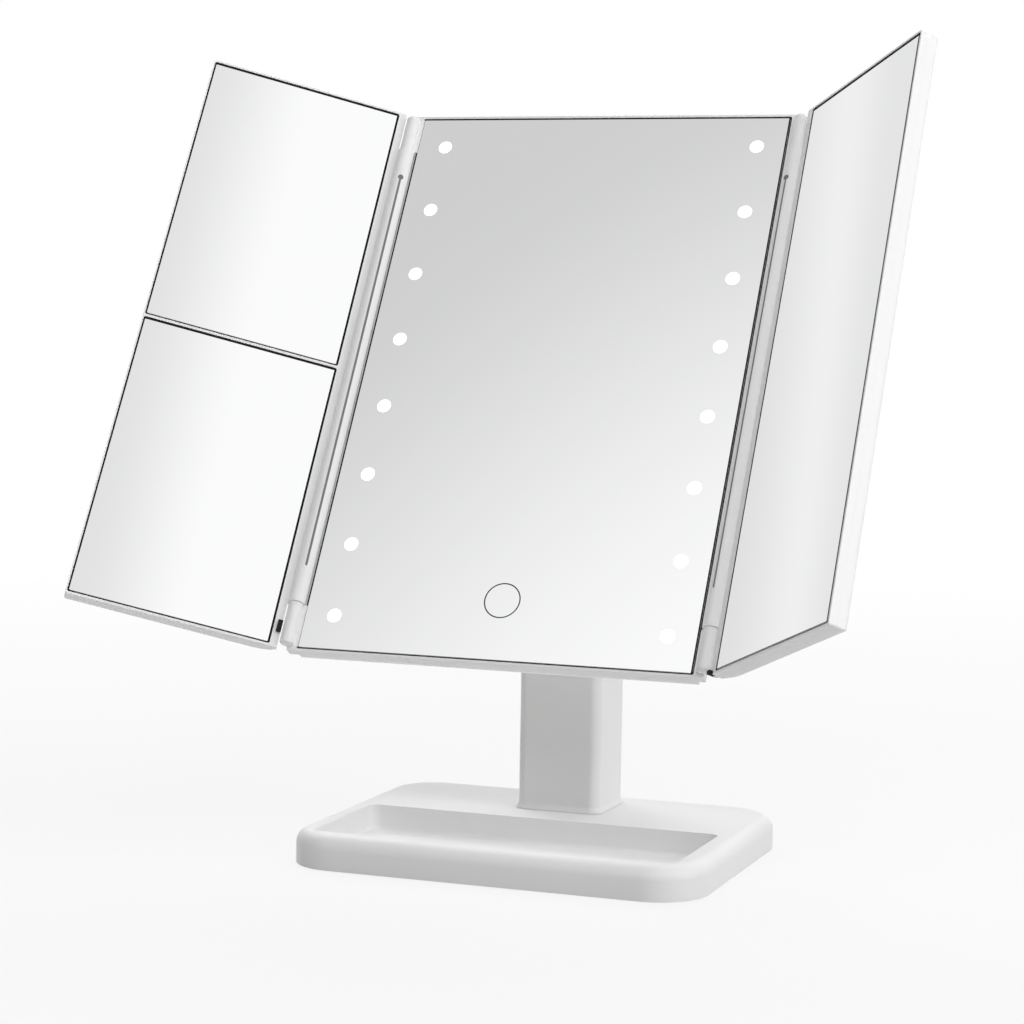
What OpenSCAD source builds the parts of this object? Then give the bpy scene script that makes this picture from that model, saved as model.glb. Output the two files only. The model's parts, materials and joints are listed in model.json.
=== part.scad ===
// Folding makeup mirror on a weighted stand, in millimetres, +Z up.
// The origin is the centre of the base on the surface it stands on; the user is on the -Y side.
// The centre panel and its two wings share one front plane when they are opened flat.

/* [Pose in the photograph] */
// Lean of the head back from upright
tilt = 30.28; // [0:0.01:90]
// Left wing folded forward from flat
fold_left = 29.9; // [0:0.1:170]
// Right wing folded forward from flat
fold_right = 44.4; // [0:0.1:170]

/* [Mirrors] */
// Width of the centre mirror
mirror_w = 157; // [140:1:200]
// Height of every full mirror
mirror_h = 240; // [220:1:280]
// Thickness of the centre mirror
mirror_t = 2.0; // [1.6:0.1:2.4]
// Thickness of the wing mirrors
wing_mirror_t = 1.4; // [1.2:0.1:1.8]
// Width of the black gasket line round each mirror
mirror_gap = 0.6; // [0.3:0.05:0.7]
// Width of that line along the top edge of each wing mirror
top_gap = 0.8; // [0.6:0.05:1]
// Thickness of the gasket behind the centre mirror
gasket_t = 0.5; // [0.3:0.1:0.8]
// Thickness of the gaskets behind the wing mirrors
wing_gasket_t = 0.4; // [0.3:0.1:0.6]
// Width of the gaskets behind the glass
gasket_w = 6; // [4:0.5:7]
// How far the gasket line stays below the face of the glass
gasket_low = 0.1; // [0.05:0.05:0.5]
// White bar between the two mirrors of the left wing
split_bar = 1.0; // [0.8:0.1:3]
// Corner radius of the mirrors
mirror_corner = 0.8; // [0.4:0.1:2]

/* [Panels] */
// Rim at the top and bottom of each panel
end_rim = 0.9; // [0.8:0.1:1.2]
// Rim at the wings' outer edges
outer_rim = 0.6; // [0.5:0.1:1.2]
// How far each rim stands in front of the glass
rim_proud = 0.2; // [0:0.05:0.3]
// Set-back of the centre frame's side walls behind the glass front
wall_back = 1.0; // [0.8:0.1:1.4]
// Floor that carries the centre mirror's gasket
frame_floor = 1.5; // [1.2:0.1:2]
// Floor that carries the wing mirrors' gaskets
wing_floor = 1.0; // [0.8:0.1:1.6]
// Depth of the centre panel behind the glass
centre_depth = 14; // [13.6:0.1:15]
// Rounding of the centre panel's back edges
centre_fillet = 9; // [3:0.5:9.5]
// Depth of each wing behind the glass
wing_depth = 8; // [7.6:0.1:9]
// Rounding of the wings' back edges
wing_fillet = 2; // [1:0.1:2.5]
// Radius of the curve by which each wing's back thins towards its hinge
wing_curve = 44; // [43:1:60]
// Width of that curved part
wing_taper = 19; // [14:0.5:19]
// Wall of the panel backs
panel_wall = 1.6; // [1.2:0.1:2]
// Corner radius of the panels
panel_corner = 1.2; // [0.8:0.1:2]
// Gap between the two wings when both are folded shut
wing_meet = 0.6; // [0.4:0.1:2]
// How much further than half way the left wing reaches
wing_shift = 3.4; // [0:0.1:4]

/* [Hinges] */
// Radius of the hinge barrels
barrel_r = 3.4; // [3.2:0.1:3.6]
// Distance from the centre glass to the barrels
barrel_gap = 1.1; // [1:0.1:2]
// Radius of the knuckles fixed to the centre frame
knuckle_r = 2.8; // [2.4:0.1:3]
// Gap beside the barrels
hinge_gap = 0.4; // [0.3:0.1:0.6]
// Hinge axis in front of the glass
hinge_front = 1.2; // [1.1:0.1:1.6]
// White strip of the wing beside its barrel
strip_w = 2.5; // [2.2:0.1:3]
// Distance from the top of the panel to the top seam of each barrel
top_knuckle = 17.6; // [15:0.1:25]
// Distance from the bottom of the panel to the bottom seam of each barrel
bottom_knuckle = 18.8; // [15:0.1:25]
// How far the fixed knuckles end short of the panel's ends
knuckle_short = 1.6; // [1:0.1:3]
// Rounding of the fixed knuckles' ends
knuckle_round = 1.2; // [0.5:0.1:1.3]
// Gap between the glass and the frame beside the left knuckles
step_gap = 0.2; // [0.1:0.05:0.3]
// Seam between knuckle and barrel
knuckle_seam = 0.3; // [0.2:0.05:0.5]
// Radius of the steel hinge pins
pin_r = 1.0; // [0.8:0.1:1.2]
// Length of each pin inside its barrel
pin_reach = 11.5; // [8:0.5:15]
// Wall of the sleeve that turns on the pin
sleeve_wall = 0.75; // [0.6:0.05:1]
// Radial running clearance of every shaft that turns
running = 0.05; // [0.02:0.01:0.08]
// Width of the moulded groove along the front of each barrel
groove_w = 0.9; // [0.5:0.1:1.2]
// Depth of that groove
groove_depth = 0.6; // [0.3:0.1:0.8]
// Turn of the right barrel's groove, outward from the wing's front
right_groove_turn = 27; // [0:1:40]
// Radius of the groove's round end
groove_end_r = 1.2; // [0.8:0.1:1.4]
// Distance from the groove's round end to the top of the panel
groove_top = 32; // [28:0.5:60]
// Distance from the groove's lower end to the bottom of the panel
groove_bottom = 34; // [28:0.5:60]
// Width of the black bumpers in the strips
bumper_w = 1.9; // [1.2:0.1:2.1]
// How far the bumpers stand out of the strips
bumper_proud = 1.4; // [0.2:0.1:1.6]
// Height of the left bumper
left_bumper_h = 4.6; // [3:0.1:6]
// Height of the right bumper
right_bumper_h = 1.5; // [1:0.1:3]
// Distance from the left bumper's lower end to the bottom of the panel
left_bumper_up = 6.2; // [0:0.1:15]
// Distance from the right bumper's lower end to the bottom of the panel
right_bumper_up = 0; // [0:0.1:15]

/* [Lights] */
// Lights on each side
led_count = 8; // [4:1:8]
// Distance between neighbouring lights
led_pitch = 30.37; // [26:0.01:31]
// Light's middle in from the mirror's side edge
led_inset = 11.9; // [11:0.1:14]
// Top light's middle below the mirror's top edge
led_drop = 13.4; // [12:0.1:20]
// Diameter of the frosted windows in the mirror
window_d = 5.8; // [4:0.1:7]
// Radius of the touch ring
ring_r = 7; // [5:0.1:9]
// Line width of the touch ring
ring_line = 0.5; // [0.4:0.1:1]
// Middle of the touch ring above the mirror's bottom edge
ring_up = 24.3; // [20:0.1:40]
// Travel of the power switch
switch_travel = 3; // [2:0.1:3.5]

/* [Stand] */
// Width of the base
base_w = 165; // [150:1:200]
// Depth of the base, front to back
base_d = 130; // [126:1:160]
// Height of the base's top above the table
base_h = 13.7; // [13.2:0.1:18]
// Corner radius of the base
base_corner = 20.4; // [18:0.1:24]
// Rounding of the base's top edge
base_fillet = 5.4; // [3:0.1:6]
// Wall of the base shell
base_wall = 2.2; // [1.8:0.1:2.5]
// How far the rubber ring stands below the base
foot_proud = 0.6; // [0.4:0.1:1]
// Thickness of the rubber ring
foot_t = 1.2; // [1.1:0.1:1.6]
// Width of the rubber ring's band
foot_band = 5; // [3:0.5:8]
// Thickness of the bottom plate
plate_t = 1.6; // [1.5:0.1:2]
// Rim between the tray and the base's edge
tray_rim = 9.5; // [9:0.1:12]
// Corner radius of the tray
tray_corner = 4; // [4:0.5:10]
// Front-to-back opening of the tray
tray_d = 58.5; // [45:0.5:60]
// Depth of the tray
tray_depth = 10; // [8:0.1:10.2]
// Rounding between the tray's walls and its floor, under half of the tray's corner radius
tray_fillet = 1.6; // [1:0.1:1.9]
// Width of the post
post_w = 34.6; // [32:0.1:40]
// Depth of the post, front to back
post_d = 32.9; // [32:0.1:34]
// Rounding of the post's upright edges
post_edge = 4; // [2:0.5:6]
// How far the post's foot flares out
flare_out = 1.3; // [0.8:0.1:2]
// Height of that flare
flare_h = 3; // [2:0.1:5]
// Shadow gap between the flare and the base
flare_gap = 0.3; // [0.2:0.05:0.6]
// Wall of the post
post_wall = 2.6; // [2:0.1:3]
// Middle of the post in from the back of the base
post_back = 28.2; // [26:0.1:30]
// Height of the weight plate inside the base
weight_t = 6; // [3:0.5:6.5]

/* [Tilt joint] */
// Height of the tilt axis above the table
pivot_h = 183.5; // [170:0.5:210]
// Tilt axis behind the glass
pivot_back = 32; // [32:0.1:34]
// Tilt axis above the middle of the mirror
pivot_up = 13.2; // [0:0.1:20]
// Radius of the tilt axle
axle_r = 2.5; // [2:0.1:3]
// Radius of the bracket's round eye
eye_r = 8; // [7:0.1:9]
// Width of the bracket's eye
eye_w = 10.2; // [8:0.1:12]
// Thickness of the washers beside the eye
washer_t = 1.0; // [0.8:0.1:1.5]

/* [Hidden] */
$fn = 64;
eps = 0.01;

// Panels, in the head's own frame: x to the right, y back from the glass, z up
panel_h = mirror_h + 2 * (mirror_gap + end_rim);
hinge_x = mirror_w / 2 + barrel_gap + barrel_r;
// The side walls keep the hinge gap from the round barrels
centre_w = 2 * (hinge_x - sqrt(pow(barrel_r + hinge_gap, 2) - pow(hinge_front + wall_back, 2)));
pocket_w = mirror_w + 2 * mirror_gap;
pocket_h = mirror_h + 2 * mirror_gap;
floor_y = mirror_t + gasket_t;
seam_y = floor_y + frame_floor;
back_in_y = centre_depth - panel_wall;

// Hinges: knuckles are fixed to the centre frame, barrels belong to the wings
knuckle_top = panel_h / 2 - top_knuckle;
knuckle_bottom = -panel_h / 2 + bottom_knuckle;
knuckle_end = panel_h / 2 - knuckle_short;
barrel_top = knuckle_top - knuckle_seam;
barrel_bottom = knuckle_bottom + knuckle_seam;
lip_y = barrel_r + hinge_gap - hinge_front;
sleeve_r = pin_r + running + sleeve_wall;
sleeve_l = pin_reach + 0.5;

// Wings, in their own frame: x outward from the hinge axis, y back, z up
wing_in = barrel_r + hinge_gap;
strip_in = knuckle_r + hinge_gap;
left_out = hinge_x - wing_meet / 2 + wing_shift;
right_out = hinge_x - wing_meet / 2 - wing_shift;
wing_glass_in = wing_in + strip_w + mirror_gap;
wing_glass_rim = outer_rim + mirror_gap;
wing_front = hinge_front - rim_proud;
wing_floor_y = hinge_front + wing_mirror_t + wing_gasket_t;
wing_seam_y = wing_floor_y + wing_floor;
wing_back_y = hinge_front + wing_depth;
bumper_t = 1.2;

// Lights and switch
led_x = mirror_w / 2 - led_inset;
led_top = mirror_h / 2 - led_drop;
led_hole_r = window_d / 2 + 0.3;
led_board_w = 8;
led_board_t = 1.0;
ring_z = -mirror_h / 2 + ring_up;
board_t = 1.2;
board_y = seam_y + 3;
board_w = 48;
board_h = 34;
board_x = led_x - led_board_w / 2 - 4 - board_w / 2;
board_z = -mirror_h / 4;
cell_w = 44;
cell_h = 38;
cell_t = 5.2;
switch_w = 13;
switch_h = 6;
switch_x = board_x - 11;
usb_x = board_x + 11;
usb_w = 8.9;
usb_h = 3.2;
slider_y = back_in_y - 1.35;
slider_l = 9;
slider_d = 5;
tab_l = 4;
tab_d = 3.6;
tab_proud = 1;

// Screws: shank radius, head radius and head height
small_screw = [1.1, 2.1, 1.0];
large_screw = [1.4, 2.8, 1.8];
boss_wall = 1.3;
screw_clear = 0.3;
bore_skin = 0.7;
wing_screw_in = wing_taper + 5;
wing_screw_out = 9;
wing_screw_end = 14;
wing_screw_z = [-panel_h / 2 + wing_screw_end, panel_h / 2 - wing_screw_end];
back_screw_in = 26;
back_screw_end = 15;
back_screw_x = [-centre_w / 2 + back_screw_in, centre_w / 2 - back_screw_in];
back_screw_z = [-panel_h / 2 + back_screw_end, 0, panel_h / 2 - back_screw_end];

// Tilt bracket
tongue_h = 14;
bracket_w = 56;
bracket_h = 40;
bracket_t = 2.6;
bracket_y = seam_y + 3.8;
bracket_screw_x = [-bracket_w / 2 + 6, bracket_w / 2 - 6];
bracket_screw_z = [pivot_up - bracket_h / 2 + 6, pivot_up + bracket_h / 2 - 6];

// Stand
post_y = base_d / 2 - post_back;
tray_w = base_w - 2 * tray_rim;
tray_y = -base_d / 2 + tray_rim + tray_d / 2;
tray_floor_z = base_h - tray_depth;
plate_top = foot_proud + plate_t;
plate_gap = 0.15;
skin = 1.2;
pad_t = base_wall + 2;
slot_half = eye_w / 2 + running + washer_t + running;
slot_floor = pivot_h - eye_r - 1.2;
cap_r = 5.4;
cap_t = 1.2;
axle_head_r = 4.3;
axle_head_t = 3.0;
nut_r = 4.62;
nut_t = 4.0;
post_boss_r = large_screw[0] + boss_wall + 0.4;
post_boss_x = post_w / 2 - post_wall - post_boss_r + 0.7;
post_boss_y = post_d / 2 - post_wall - post_boss_r + 0.7;
post_boss_h = 16;
// The base's screws stand in the middle of the channel between the tray and the side wall
plate_screw_x = base_w / 2 - (base_wall + tray_rim - skin) / 2;
plate_screw_y = base_d / 2 - base_corner;
plate_screws = [for (x = [-1, 1], y = [-1, 1]) [x * plate_screw_x, y * plate_screw_y]];

// Where the head's frame sits in the world
glass_y = post_y - pivot_back * cos(tilt) - pivot_up * sin(tilt);
glass_z = pivot_h + pivot_back * sin(tilt) - pivot_up * cos(tilt);

module in_head() {
    translate([0, glass_y, glass_z])
        rotate([-tilt, 0, 0])
            children();
}

module in_right_wing() {
    in_head()
        translate([hinge_x, -hinge_front, 0])
            rotate([0, 0, -fold_right])
                children();
}

module in_left_wing() {
    in_head()
        translate([-hinge_x, -hinge_front, 0])
            rotate([0, 0, fold_left])
                mirror([1, 0, 0])
                    children();
}

// Flat rounded rectangle
module rounded_rect(w, h, r) {
    square([w - 2 * r, h], center = true);
    square([w, h - 2 * r], center = true);
    for (x = [-1, 1], y = [-1, 1])
        translate([x * (w / 2 - r), y * (h / 2 - r)])
            circle(r);
}

// Rounded plate that faces back, from y to y + t
module panel_plate(w, h, r, y, t) {
    translate([0, y + t, 0])
        rotate([90, 0, 0])
            linear_extrude(t)
                rounded_rect(w, h, r);
}

// Round bar along +Y
module rod_y(x, y, z, r, l) {
    translate([x, y, z])
        rotate([-90, 0, 0])
            cylinder(r = r, h = l);
}

// Half outline whose far top corner is rounded
module soft_half(w, h, r) {
    square([w - r, h]);
    square([w, h - r]);
    translate([w - r, h - r])
        circle(r);
}

// Whole outline whose two top corners are rounded
module soft_outline(w, h, r) {
    soft_half(w / 2, h, r);
    mirror([1, 0])
        soft_half(w / 2, h, r);
}

// Slab with round upright corners and a rounded top edge
module soft_slab(w, d, h, corner, fillet) {
    for (x = [-1, 1], y = [-1, 1])
        translate([x * (w / 2 - corner), y * (d / 2 - corner), 0])
            rotate_extrude()
                soft_half(corner, h, fillet);
    translate([-w / 2 + corner, 0, 0])
        rotate([90, 0, 90])
            linear_extrude(w - 2 * corner)
                soft_outline(d, h, fillet);
    translate([0, d / 2 - corner, 0])
        rotate([90, 0, 0])
            linear_extrude(d - 2 * corner)
                soft_outline(w, h, fillet);
}

// Panel back with rounded rear edges, from y to y + t, open inside
module soft_back(w, h, r, y, t, fillet) {
    intersection() {
        panel_plate(w, h, r, y, t);
        translate([0, y, -h])
            linear_extrude(2 * h)
                soft_outline(w, t, fillet);
        translate([-w, y, 0])
            rotate([90, 0, 90])
                linear_extrude(2 * w)
                    rotate(-90)
                        mirror([1, 0])
                            soft_outline(h, t, fillet);
    }
}

// Cross-head screw: the shank points down from the underside of the head
module screw(size, l) {
    translate([0, 0, -l])
        cylinder(r = size[0], h = l);
    difference() {
        cylinder(r = size[1], h = size[2]);
        for (turn = [0, 90])
            rotate(turn)
                translate([-size[1] * 0.6, -0.25, size[2] * 0.45])
                    cube([size[1] * 1.2, 0.5, size[2]]);
    }
}

// The same screw with its head towards +Y, the head's underside at y
module back_screw(x, y, z, size, l) {
    translate([x, y, z])
        rotate([-90, 0, 0])
            screw(size, l);
}

// Base

module base_cavity() {
    w = base_w - 2 * base_wall;
    d = base_d - 2 * base_wall;
    difference() {
        translate([0, 0, foot_proud - 1])
            soft_slab(w, d, base_h - base_wall - foot_proud + 1, base_corner - base_wall,
                      base_fillet - base_wall);
        // Tray walls and floor
        translate([0, tray_y, tray_floor_z - skin])
            linear_extrude(base_h)
                rounded_rect(tray_w + 2 * skin, tray_d + 2 * skin, tray_corner + skin);
        // Screw bosses
        for (p = plate_screws)
            translate([p[0], p[1], plate_top])
                cylinder(r = small_screw[0] + boss_wall, h = base_h);
        // Thicker seat under the post
        translate([-post_w / 2, post_y - post_d / 2, base_h - pad_t])
            cube([post_w, post_d, pad_t]);
    }
}

module post_screw_places() {
    for (x = [-1, 1], y = [-1, 1])
        translate([x * post_boss_x, post_y + y * post_boss_y, 0])
            children();
}

module base_shell() {
    color("whitesmoke")
        difference() {
            translate([0, 0, foot_proud])
                soft_slab(base_w, base_d, base_h - foot_proud, base_corner, base_fillet);
            base_cavity();
            // Tray
            translate([0, tray_y, base_h + eps])
                mirror([0, 0, 1])
                    soft_slab(tray_w, tray_d, tray_depth + eps, tray_corner, tray_fillet);
            for (p = plate_screws)
                translate([p[0], p[1], 0])
                    cylinder(r = small_screw[0], h = plate_top + 6);
            post_screw_places()
                cylinder(r = large_screw[0] + screw_clear, h = base_h + 1);
        }
}

module base_bottom_plate() {
    inset = base_wall + plate_gap;
    foot_in = base_corner / 2;
    color("gainsboro")
        difference() {
            translate([0, 0, foot_proud])
                linear_extrude(plate_t)
                    rounded_rect(base_w - 2 * inset, base_d - 2 * inset, base_corner - inset);
            // Groove for the rubber ring
            foot_ring_shape(foot_in);
            for (p = plate_screws)
                translate([p[0], p[1], 0]) {
                    cylinder(r = small_screw[0] + screw_clear, h = base_h);
                    cylinder(r = small_screw[1] + screw_clear, h = foot_proud + small_screw[2]);
                }
        }
}

module foot_ring_shape(inset) {
    outer_r = base_corner - inset;
    linear_extrude(foot_t)
        difference() {
            rounded_rect(base_w - 2 * inset, base_d - 2 * inset, outer_r);
            rounded_rect(base_w - 2 * (inset + foot_band), base_d - 2 * (inset + foot_band),
                         outer_r - foot_band);
        }
}

module base_foot_ring() {
    color("dimgray")
        foot_ring_shape(base_corner / 2);
}

module base_weight() {
    front = tray_y + tray_d / 2 + skin + 1;
    back = base_d / 2 - base_wall - base_fillet;
    w = base_w - 2 * base_corner;
    color("slategray")
        difference() {
            translate([-w / 2, front, plate_top])
                cube([w, back - front, weight_t]);
            // Clear of the post's seat and screws
            translate([-post_w / 2 - 1, post_y - post_d / 2 - 1, 0])
                cube([post_w + 2, post_d + 2, base_h]);
        }
}

module base_screws() {
    color("silver")
        for (p = plate_screws)
            translate([p[0], p[1], foot_proud + small_screw[2]])
                mirror([0, 0, 1])
                    screw(small_screw, plate_t - small_screw[2] + 5);
}

// Post

// Half outline of the foot: a hollow curve from just inside the post's face out to a thin lip
module foot_half(w) {
    inside = 0.05;
    reach = flare_out + inside + 0.15;
    curve = (pow(reach, 2) + pow(flare_h, 2)) / (2 * reach);
    difference() {
        square([w + flare_out, flare_h]);
        translate([w - inside + curve, flare_h])
            circle(curve);
    }
}

module foot_outline(w) {
    foot_half(w / 2);
    mirror([1, 0])
        foot_half(w / 2);
}

// Foot of the post, flared on all four sides
module post_foot() {
    translate([0, post_y, base_h + flare_gap]) {
        for (x = [-1, 1], y = [-1, 1])
            translate([x * (post_w / 2 - post_edge), y * (post_d / 2 - post_edge), 0])
                rotate_extrude()
                    foot_half(post_edge);
        translate([-post_w / 2 + post_edge, 0, 0])
            rotate([90, 0, 90])
                linear_extrude(post_w - 2 * post_edge)
                    foot_outline(post_d);
        translate([0, post_d / 2 - post_edge, 0])
            rotate([90, 0, 0])
                linear_extrude(post_d - 2 * post_edge)
                    foot_outline(post_w);
    }
}

module post() {
    color("whitesmoke")
        difference() {
            union() {
                post_foot();
                intersection() {
                    translate([0, post_y, base_h])
                        linear_extrude(pivot_h + post_d / 2 - base_h)
                            rounded_rect(post_w, post_d, post_edge);
                    // Round top about the tilt axis
                    translate([-post_w, post_y, 0])
                        rotate([90, 0, 90])
                            linear_extrude(2 * post_w) {
                                translate([-post_d / 2, 0])
                                    square([post_d, pivot_h]);
                                translate([0, pivot_h])
                                    circle(post_d / 2);
                            }
                }
            }
            // Hollow below the tilt joint, with four screw bosses left in it
            difference() {
                translate([0, post_y, base_h - 1])
                    linear_extrude(slot_floor - 6 - base_h + 1)
                        rounded_rect(post_w - 2 * post_wall, post_d - 2 * post_wall,
                                     max(post_edge - post_wall, 0.5));
                post_screw_places()
                    cylinder(r = post_boss_r, h = base_h + post_boss_h);
            }
            post_screw_places()
                translate([0, 0, base_h - 1])
                    cylinder(r = large_screw[0], h = post_boss_h - 1);
            // Slot for the bracket's eye
            translate([-slot_half, post_y - post_d, slot_floor])
                cube([2 * slot_half, 2 * post_d, post_d]);
            // Axle bore, head and nut recesses, cap recesses
            translate([-post_w, post_y, pivot_h])
                rotate([0, 90, 0])
                    cylinder(r = axle_r + running, h = 2 * post_w);
            translate([post_w / 2 - cap_t - axle_head_t, post_y, pivot_h])
                rotate([0, 90, 0])
                    cylinder(r = axle_head_r + 0.2, h = post_w);
            translate([-post_w / 2 + cap_t + nut_t, post_y, pivot_h])
                rotate([0, -90, 0])
                    cylinder(r = nut_r + 0.1, h = post_w, $fn = 6);
            for (side = [0, 180])
                translate([0, post_y, pivot_h])
                    rotate([0, 90, side])
                        translate([0, 0, post_w / 2 - cap_t])
                            cylinder(r = cap_r, h = post_w);
        }
}

module post_screws() {
    color("silver")
        post_screw_places()
            translate([0, 0, base_h - pad_t])
                mirror([0, 0, 1])
                    screw(large_screw, pad_t + post_boss_h - 5);
}

module tilt_axle() {
    head_x = post_w / 2 - cap_t - axle_head_t;
    color("silver")
        translate([0, post_y, pivot_h])
            rotate([0, 90, 0]) {
                translate([0, 0, -post_w / 2 + cap_t + 0.4])
                    cylinder(r = axle_r, h = post_w / 2 - cap_t - 0.4 + head_x);
                difference() {
                    translate([0, 0, head_x])
                        cylinder(r = axle_head_r, h = axle_head_t - 0.2);
                    // Hex key recess
                    translate([0, 0, head_x + 1])
                        cylinder(r = 2.3, h = axle_head_t, $fn = 6);
                }
            }
}

module tilt_nut() {
    color("silver")
        translate([-post_w / 2 + cap_t, post_y, pivot_h])
            rotate([0, 90, 0])
                difference() {
                    translate([0, 0, 0.2])
                        cylinder(r = nut_r, h = nut_t - 0.2, $fn = 6);
                    cylinder(r = axle_r, h = 3 * nut_t, center = true);
                }
}

module tilt_washers() {
    color("gray")
        for (side = [0, 180])
            translate([0, post_y, pivot_h])
                rotate([0, 90, side])
                    translate([0, 0, eye_w / 2 + running])
                        difference() {
                            cylinder(r = eye_r - 1, h = washer_t);
                            cylinder(r = axle_r, h = 3 * washer_t, center = true);
                        }
}

module axle_caps() {
    color("whitesmoke")
        for (side = [0, 180])
            translate([0, post_y, pivot_h])
                rotate([0, 90, side])
                    translate([0, 0, post_w / 2 - cap_t])
                        cylinder(r = cap_r, h = cap_t);
}

// Head

module bracket_screw_places() {
    for (x = bracket_screw_x, z = bracket_screw_z)
        translate([x, 0, z])
            children();
}

module back_screw_places() {
    for (x = back_screw_x, z = back_screw_z)
        translate([x, 0, z])
            children();
}

module board_screw_places() {
    for (x = [-1, 1], z = [-1, 1])
        translate([board_x + x * (board_w / 2 - 4), 0, board_z + z * (board_h / 2 - 4)])
            children();
}

module led_places() {
    for (side = [-1, 1], i = [0:led_count - 1])
        translate([side * led_x, 0, led_top - i * led_pitch])
            children();
}

// Fixed knuckles, rounded at the ends of the panel
module knuckles() {
    for (side = [-1, 1])
        translate([side * hinge_x, -hinge_front, 0]) {
            translate([0, 0, knuckle_top])
                rotate_extrude()
                    soft_half(knuckle_r, knuckle_end - knuckle_top, knuckle_round);
            translate([0, 0, knuckle_bottom])
                mirror([0, 0, 1])
                    rotate_extrude()
                        soft_half(knuckle_r, knuckle_bottom + knuckle_end, knuckle_round);
        }
}

// Webs that tie the knuckles to the frame, and a lip that closes the gap behind the barrels
module webs() {
    for (part = [[knuckle_top, top_knuckle], [-panel_h / 2, bottom_knuckle]])
        translate([-hinge_x, -rim_proud, part[0]])
            cube([2 * hinge_x, seam_y + rim_proud, part[1]]);
    translate([-hinge_x, lip_y, -panel_h / 2])
        cube([2 * hinge_x, seam_y - lip_y, panel_h]);
}

// Parts of the frame beside the left knuckles, as close to the glass as the gap
module glass_steps(gap) {
    for (part = [[knuckle_top, mirror_h / 2 - knuckle_top], [-mirror_h / 2, knuckle_bottom + mirror_h / 2]])
        translate([-pocket_w / 2 - 0.5, -rim_proud, part[0]])
            cube([mirror_gap + 0.5 - gap, floor_y + rim_proud, part[1]]);
}

module centre_frame() {
    color("white")
        in_head()
            difference() {
                union() {
                    difference() {
                        panel_plate(centre_w, panel_h, panel_corner, -rim_proud, seam_y + rim_proud);
                        // Side walls set back beside the barrels
                        translate([-centre_w, wall_back - centre_depth, knuckle_bottom])
                            cube([2 * centre_w, centre_depth, knuckle_top - knuckle_bottom]);
                    }
                    knuckles();
                    webs();
                    back_screw_places()
                        rod_y(0, seam_y - eps, 0, small_screw[0] + boss_wall, back_in_y - seam_y + eps);
                    bracket_screw_places()
                        rod_y(0, seam_y - eps, 0, large_screw[0] + boss_wall, bracket_y - seam_y + eps);
                    board_screw_places()
                        rod_y(0, seam_y - eps, 0, small_screw[0] + boss_wall, board_y - seam_y + eps);
                }
                // Bed of the mirror
                difference() {
                    panel_plate(pocket_w, pocket_h, mirror_corner, -hinge_front - barrel_r,
                                floor_y + hinge_front + barrel_r);
                    glass_steps(step_gap);
                }
                led_places()
                    rod_y(0, 0, 0, led_hole_r, 2 * seam_y);
                rod_y(0, 0, ring_z, ring_r + 2.5, 2 * seam_y);
                // Pin bores, blind at the ends of the panel
                for (side = [-1, 1])
                    translate([side * hinge_x, -hinge_front, 0]) {
                        translate([0, 0, knuckle_top - 1])
                            cylinder(r = pin_r, h = knuckle_end - knuckle_top);
                        translate([0, 0, -knuckle_end + 1])
                            cylinder(r = pin_r, h = knuckle_bottom + knuckle_end);
                    }
                back_screw_places()
                    rod_y(0, seam_y + 1, 0, small_screw[0], centre_depth);
                bracket_screw_places()
                    rod_y(0, floor_y + bore_skin, 0, large_screw[0], centre_depth);
                board_screw_places()
                    rod_y(0, floor_y + bore_skin, 0, small_screw[0], centre_depth);
            }
}

module centre_mirror() {
    color("lightsteelblue")
        in_head()
            difference() {
                panel_plate(mirror_w, mirror_h, mirror_corner, 0, mirror_t);
                led_places()
                    rod_y(0, -1, 0, window_d / 2, mirror_t + 2);
                touch_ring_shape(1);
            }
}

// Printed ring, let into the glass; front adds height in front of the glass
module touch_ring_shape(front) {
    difference() {
        rod_y(0, -front, ring_z, ring_r + ring_line / 2, 0.3 + front);
        rod_y(0, -front - 1, ring_z, ring_r - ring_line / 2, front + 3);
    }
}

module touch_ring() {
    color("dimgray")
        in_head()
            touch_ring_shape(0);
}

module led_windows() {
    color("ivory")
        in_head()
            led_places()
                rod_y(0, 0, 0, window_d / 2, mirror_t);
}

// Gasket behind the glass, with an edge that stands up round the glass
module centre_mirror_gasket() {
    color("black")
        in_head()
            difference() {
                panel_plate(pocket_w, pocket_h, mirror_corner, gasket_low, floor_y - gasket_low);
                panel_plate(mirror_w, mirror_h, mirror_corner, -1, mirror_t + 1);
                panel_plate(mirror_w - 2 * gasket_w, mirror_h - 2 * gasket_w, mirror_corner, 0,
                            2 * floor_y);
                glass_steps(0);
            }
}

module led_boards() {
    low = led_top - (led_count - 1) * led_pitch - 7;
    color("seagreen")
        in_head()
            for (side = [-1, 1])
                translate([side * led_x - led_board_w / 2, seam_y, low])
                    cube([led_board_w, led_board_t, led_top + 7 - low]);
}

module leds() {
    color("lightyellow")
        in_head()
            led_places()
                translate([-1.75, seam_y - 0.9, -1.4])
                    cube([3.5, 0.9, 2.8]);
}

module main_board() {
    color("seagreen")
        in_head()
            difference() {
                translate([board_x - board_w / 2, board_y, board_z - board_h / 2])
                    cube([board_w, board_t, board_h]);
                board_screw_places()
                    rod_y(0, 0, 0, small_screw[0] + screw_clear, centre_depth);
            }
}

module board_screws() {
    color("silver")
        in_head()
            board_screw_places()
                back_screw(0, board_y + board_t, 0, small_screw,
                           board_y + board_t - floor_y - bore_skin - 0.3);
}

// Outline of the power inlet, wide along x
module inlet_outline(grow) {
    rounded_rect(usb_w + 2 * grow, usb_h + 2 * grow, 1.2 + grow);
}

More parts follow.
